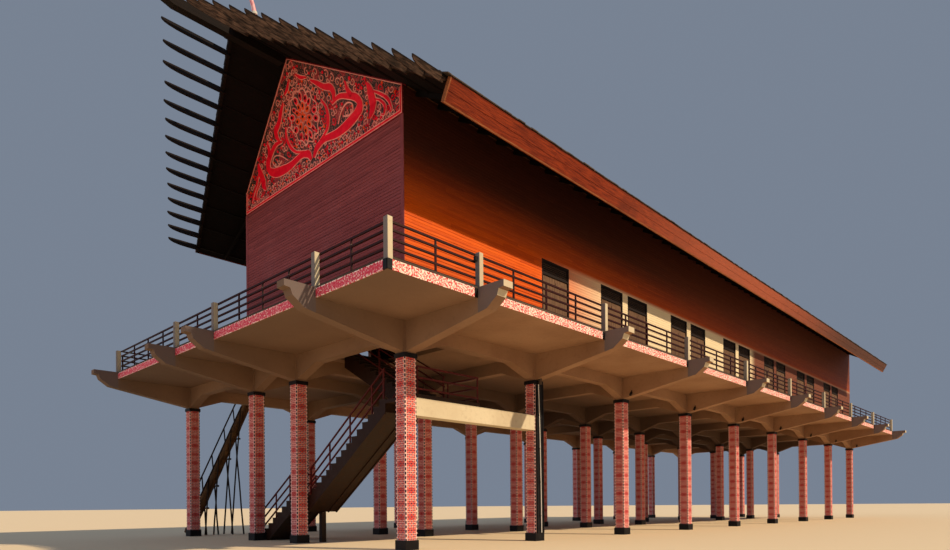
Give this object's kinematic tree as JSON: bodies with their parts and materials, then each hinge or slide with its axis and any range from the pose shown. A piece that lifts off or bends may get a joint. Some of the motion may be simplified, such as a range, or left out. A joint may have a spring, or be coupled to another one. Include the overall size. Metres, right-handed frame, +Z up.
{
  "type": "raised longhouse wing, 1:2 scale model",
  "caption": "Long timber house with a shingled gable roof on a concrete deck, carried by rows of square columns, with a ground stair and a log stair; half size.",
  "frame": {"origin": "on the ground, under the middle of the outline", "axes": "+X to the balcony side, +Y along the wing from the gable with the painted panel, +Z up"},
  "size_m": [10.1278, 26.95, 9.1734],
  "materials": {
    "concrete": "painted concrete, tan above, red and white pattern on the columns",
    "cream_concrete": "painted concrete",
    "railing_steel": "satin black paint",
    "stair_steel": "worn dark paint",
    "log": "bare weathered log",
    "poles": "thin weathered poles",
    "siding": "painted horizontal boards",
    "carved_panel": "carved and painted",
    "doors": "dark stained planks",
    "shingles": "weathered split shingles",
    "eave_boards": "stained boards",
    "verge_planks": "weathered planks",
    "horn": "painted"
  },
  "bodies": {
    "root": {"deck_slab": "concrete", "doors_left": "doors", "doors_right": "doors", "eave_board_left": "eave_boards", "eave_board_right": "eave_boards", "frame_0": "concrete", "frame_1": "concrete", "frame_2": "concrete", "frame_3": "concrete", "frame_4": "concrete", "frame_5": "concrete", "frame_6": "concrete", "frame_7": "concrete", "frame_8": "concrete", "front_wall": "siding", "gable_panel": "carved_panel", "landing_beam": "cream_concrete", "landing_rail": "stair_steel", "log_stair": "log", "log_stair_trestles": "poles", "parapet_front": "cream_concrete", "parapet_left": "cream_concrete", "parapet_left_front": "cream_concrete", "parapet_right": "cream_concrete", "party_wall": "siding", "railing_front": "railing_steel", "railing_left": "railing_steel", "railing_left_front": "railing_steel", "railing_right": "railing_steel", "ridge_cap": "verge_planks", "ridge_horn": "horn", "ridge_spear": "verge_planks", "roof_left": "shingles", "roof_right": "shingles", "stair_landing": "stair_steel", "stair_lower_flight": "stair_steel", "stair_post": "stair_steel", "stair_rail_lower_far": "stair_steel", "stair_rail_lower_near": "stair_steel", "stair_rail_upper_far": "stair_steel", "stair_rail_upper_near": "stair_steel", "stair_upper_flight": "stair_steel", "verge_planks_left": "verge_planks", "verge_planks_right": "verge_planks", "wall_left": "siding", "wall_left_front": "siding", "wall_left_over_door": "siding", "wall_right": "siding"}
  },
  "joints": []
}
